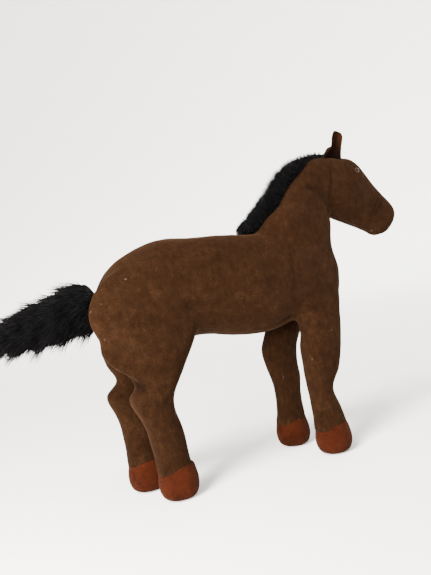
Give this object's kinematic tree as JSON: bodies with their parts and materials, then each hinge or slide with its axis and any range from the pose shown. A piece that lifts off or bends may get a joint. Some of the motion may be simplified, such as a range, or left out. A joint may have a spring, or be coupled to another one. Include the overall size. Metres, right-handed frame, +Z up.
{
  "type": "stuffed toy horse",
  "caption": "Standing stuffed velvet horse with a fur mane and tail and felt hooves, whose wired legs, neck, head and tail bend and stay where they are put.",
  "frame": {"origin": "on the floor, under the middle of the horse's bounding box", "axes": "+X towards the nose, +Y towards the horse's left side, +Z up"},
  "size_m": [0.328, 0.0606, 0.2262],
  "materials": {
    "velvet": "short dense pile, matt brown",
    "velvet_inner": "short dense pile, matt brown, a little darker",
    "felt": "matt rust-brown felt",
    "stuffing": "loose fibre",
    "wire": "plain drawn wire",
    "fur": "black plush, soft sheen",
    "eye": "clear gloss over amber",
    "washer": "matt white"
  },
  "bodies": {
    "trunk": {"trunk_side_right": "velvet", "trunk_side_left": "velvet", "belly_gusset": "velvet_inner", "trunk_stuffing": "stuffing", "spine_wire": "wire", "mane_foot": "fur"},
    "neck": {"neck_side_right": "velvet", "neck_side_left": "velvet", "neck_stuffing": "stuffing", "neck_wire": "wire", "mane": "fur"},
    "head": {"head_side_right": "velvet", "head_side_left": "velvet", "head_gusset": "velvet", "head_stuffing": "stuffing", "eye_right": "eye", "eye_left": "eye", "eye_washer_right": "washer", "eye_washer_left": "washer"},
    "ear_right": {"ear_right_back": "velvet", "ear_right_lining": "felt"},
    "ear_left": {"ear_left_back": "velvet", "ear_left_lining": "felt"},
    "tail": {"tail_core": "velvet", "tail_fur": "fur"},
    "hind_leg_right": {"hind_leg_right_skin_outer": "velvet", "hind_leg_right_skin_inner": "velvet_inner", "hind_leg_right_stuffing": "stuffing", "hind_leg_right_hoof": "felt", "hind_leg_right_wire": "wire"},
    "hind_leg_left": {"hind_leg_left_skin_outer": "velvet", "hind_leg_left_skin_inner": "velvet_inner", "hind_leg_left_stuffing": "stuffing", "hind_leg_left_hoof": "felt", "hind_leg_left_wire": "wire"},
    "fore_leg_right": {"fore_leg_right_skin_outer": "velvet", "fore_leg_right_skin_inner": "velvet_inner", "fore_leg_right_stuffing": "stuffing", "fore_leg_right_hoof": "felt", "fore_leg_right_wire": "wire"},
    "fore_leg_left": {"fore_leg_left_skin_outer": "velvet", "fore_leg_left_skin_inner": "velvet_inner", "fore_leg_left_stuffing": "stuffing", "fore_leg_left_hoof": "felt", "fore_leg_left_wire": "wire"}
  },
  "joints": [
    {"name": "neck_nod", "type": "hinge", "parent": "trunk", "child": "neck", "pos_m": [0.07367, 0, 0.158], "axis": [0, 1, 0], "range_deg": [-12, 12]},
    {"name": "head_nod", "type": "hinge", "parent": "neck", "child": "head", "pos_m": [0.10267, 0, 0.188], "axis": [0, 1, 0], "range_deg": [-12, 12]},
    {"name": "ear_right_flex", "type": "hinge", "parent": "head", "child": "ear_right", "pos_m": [0.11467, -0.006, 0.20713], "axis": [0.2415, 0.966, 0.0918], "range_deg": [-20, 20], "stiffness_Nm_per_rad": 0.002},
    {"name": "ear_left_flex", "type": "hinge", "parent": "head", "child": "ear_left", "pos_m": [0.11467, 0.006, 0.20713], "axis": [-0.2078, 0.8314, -0.5154], "range_deg": [-30, 8], "stiffness_Nm_per_rad": 0.002},
    {"name": "tail_lift", "type": "hinge", "parent": "trunk", "child": "tail", "pos_m": [-0.08443, 0, 0.123], "axis": [0, 1, 0], "range_deg": [-35, 20]},
    {"name": "hind_leg_right_swing", "type": "hinge", "parent": "trunk", "child": "hind_leg_right", "pos_m": [-0.04908, 0, 0.11475], "axis": [0, 1, 0], "range_deg": [-12, 12]},
    {"name": "hind_leg_left_swing", "type": "hinge", "parent": "trunk", "child": "hind_leg_left", "pos_m": [-0.04908, 0, 0.11475], "axis": [0, 1, 0], "range_deg": [-12, 12]},
    {"name": "fore_leg_right_swing", "type": "hinge", "parent": "trunk", "child": "fore_leg_right", "pos_m": [0.07117, 0, 0.10525], "axis": [0, 1, 0], "range_deg": [-12, 12]},
    {"name": "fore_leg_left_swing", "type": "hinge", "parent": "trunk", "child": "fore_leg_left", "pos_m": [0.07117, 0, 0.10525], "axis": [0, 1, 0], "range_deg": [-12, 12]}
  ]
}
